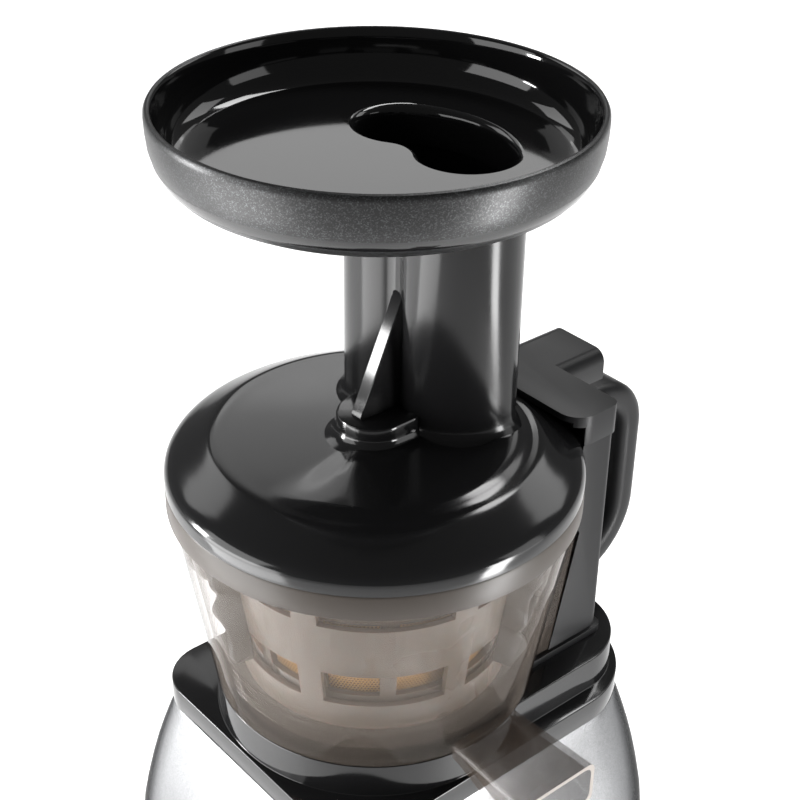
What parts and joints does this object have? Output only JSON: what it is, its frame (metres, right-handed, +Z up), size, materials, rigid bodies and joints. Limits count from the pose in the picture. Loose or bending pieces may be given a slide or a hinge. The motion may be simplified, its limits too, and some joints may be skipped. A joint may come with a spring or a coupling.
{
  "type": "cold press juicer",
  "caption": "Upright slow juicer: flared silver base, smoked bowl with auger and rotating brush, twist-off lid with feed chute and round tray, rear tower with D-handle.",
  "frame": {"origin": "centre of the whole object's box, on the floor that the rubber feet stand on", "axes": "+Z up; the bare silver front faces -Y; the handle is on +Y; the pulp spout points along +X and the juice outlet along -X; the bowl's axis is at x = 0, 24.5 mm in front of the origin"},
  "size_m": [0.2023, 0.215, 0.4],
  "materials": {
    "silver_paint": "satin",
    "black_gloss": "polished",
    "charcoal_satin": "satin metallic flake",
    "dark_grey": "fine satin",
    "smoked_clear": "clear moulded copolyester",
    "clear_grey": "translucent moulding",
    "gold_mesh": "perforated, tan",
    "silicone_brown": "soft satin",
    "silicone_clear": "soft satin",
    "rubber_black": "matte",
    "auger_grey": "satin",
    "black_plastic": "matte",
    "natural_plastic": "satin",
    "red_plastic": "polished",
    "steel": "turned",
    "cast_alloy": "as cast",
    "motor_core": "varnished",
    "circuit_board": "lacquered"
  },
  "bodies": {
    "base": {"base_shell": "silver_paint", "top_cap": "black_gloss", "bottom_plate": "black_plastic", "rubber_feet": "rubber_black", "bottom_screws": "steel", "vent_grille": "black_plastic", "motor_can": "cast_alloy", "stator_core": "motor_core", "motor_end_plate": "cast_alloy", "motor_dampers": "rubber_black", "lower_bearing": "steel", "upper_bearing": "steel", "gearbox_housing": "cast_alloy", "gearbox_cover": "cast_alloy", "gearbox_screws": "steel", "wheel_pin": "steel", "output_bearing": "steel", "shaft_seal": "rubber_black", "control_board": "circuit_board", "run_capacitor": "black_plastic", "cord_inlet": "rubber_black", "switch_bezel": "black_plastic", "interlock_switch": "black_plastic"},
    "power_rocker": {"rocker": "red_plastic"},
    "motor_rotor": {"motor_shaft": "steel", "rotor_core": "motor_core", "cooling_fan": "black_plastic"},
    "reduction_wheel": {"compound_wheel": "natural_plastic"},
    "drive_output": {"output_gear": "natural_plastic", "output_shaft": "steel"},
    "bowl_set": {"bowl": "smoked_clear", "bowl_seal": "silicone_clear", "pulp_spout": "smoked_clear", "juice_nozzle": "smoked_clear", "flap_pin": "steel", "rear_tower": "dark_grey", "tower_screws": "steel", "hood": "dark_grey", "handle": "dark_grey", "handle_screws": "steel", "idler_pin": "steel", "strainer_frame": "clear_grey", "strainer_mesh": "gold_mesh", "plunger_spring": "steel"},
    "outlet_flap": {"juice_flap": "smoked_clear", "flap_seal": "silicone_clear"},
    "lid_plunger": {"interlock_plunger": "natural_plastic"},
    "brush_idler": {"idler_gear": "natural_plastic"},
    "wiping_brush": {"brush_frame": "clear_grey", "brush_gear": "natural_plastic", "wiper_blades": "silicone_brown"},
    "auger_screw": {"auger": "auger_grey"},
    "lid_set": {"lid": "charcoal_satin", "lid_seal": "silicone_brown", "feed_chute": "charcoal_satin", "auger_bush": "natural_plastic"},
    "tray_set": {"feed_tray": "charcoal_satin"}
  },
  "joints": [
    {"name": "rocker_swing", "type": "hinge", "parent": "base", "child": "power_rocker", "pos_m": [-0.07804, -0.0245, 0.052], "axis": [0, -1, 0], "range_deg": [0, 18]},
    {"name": "rotor_spin", "type": "hinge", "parent": "base", "child": "motor_rotor", "pos_m": [0, -0.0245, 0.05], "axis": [0, 0, 1], "continuous": true},
    {"name": "wheel_spin", "type": "hinge", "parent": "base", "child": "reduction_wheel", "pos_m": [0, 0.0055, 0.1], "axis": [0, 0, 1], "continuous": true},
    {"name": "output_spin", "type": "hinge", "parent": "base", "child": "drive_output", "pos_m": [0, -0.0245, 0.12], "axis": [0, 0, 1], "continuous": true},
    {"name": "bowl_lift", "type": "slide", "parent": "base", "child": "bowl_set", "axis": [0, 0, 1], "range_m": [0, 0.06]},
    {"name": "flap_open", "type": "hinge", "parent": "bowl_set", "child": "outlet_flap", "pos_m": [-0.0983, -0.0245, 0.2018], "axis": [0, 1, 0], "range_deg": [0, 90]},
    {"name": "plunger_rise", "type": "slide", "parent": "bowl_set", "child": "lid_plunger", "axis": [0, 0, 1], "range_m": [0, 0.0026], "deforming": ["plunger_spring"]},
    {"name": "idler_spin", "type": "hinge", "parent": "bowl_set", "child": "brush_idler", "pos_m": [0, 0.0011, 0.186], "axis": [0, 0, 1], "continuous": true},
    {"name": "brush_spin", "type": "hinge", "parent": "bowl_set", "child": "wiping_brush", "pos_m": [0, -0.0245, 0.2], "axis": [0, 0, 1], "continuous": true},
    {"name": "auger_spin", "type": "hinge", "parent": "bowl_set", "child": "auger_screw", "pos_m": [0, -0.0245, 0.2], "axis": [0, 0, 1], "continuous": true},
    {"name": "lid_turn", "type": "hinge", "parent": "bowl_set", "child": "lid_set", "pos_m": [0, -0.0245, 0.27], "axis": [0, 0, 1], "range_deg": [0, 25]},
    {"name": "tray_lift", "type": "slide", "parent": "lid_set", "child": "tray_set", "axis": [0, 0, 1], "range_m": [0, 0.04]}
  ],
  "couplings": [
    {"joint": "output_spin", "follows": "auger_spin", "ratio": 1},
    {"joint": "wheel_spin", "follows": "auger_spin", "ratio": -4},
    {"joint": "rotor_spin", "follows": "auger_spin", "ratio": 16},
    {"joint": "idler_spin", "follows": "auger_spin", "ratio": -1},
    {"joint": "brush_spin", "follows": "auger_spin", "ratio": -0.33333},
    {"joint": "plunger_rise", "follows": "lid_turn", "m_per_rad": 0.0057296}
  ]
}
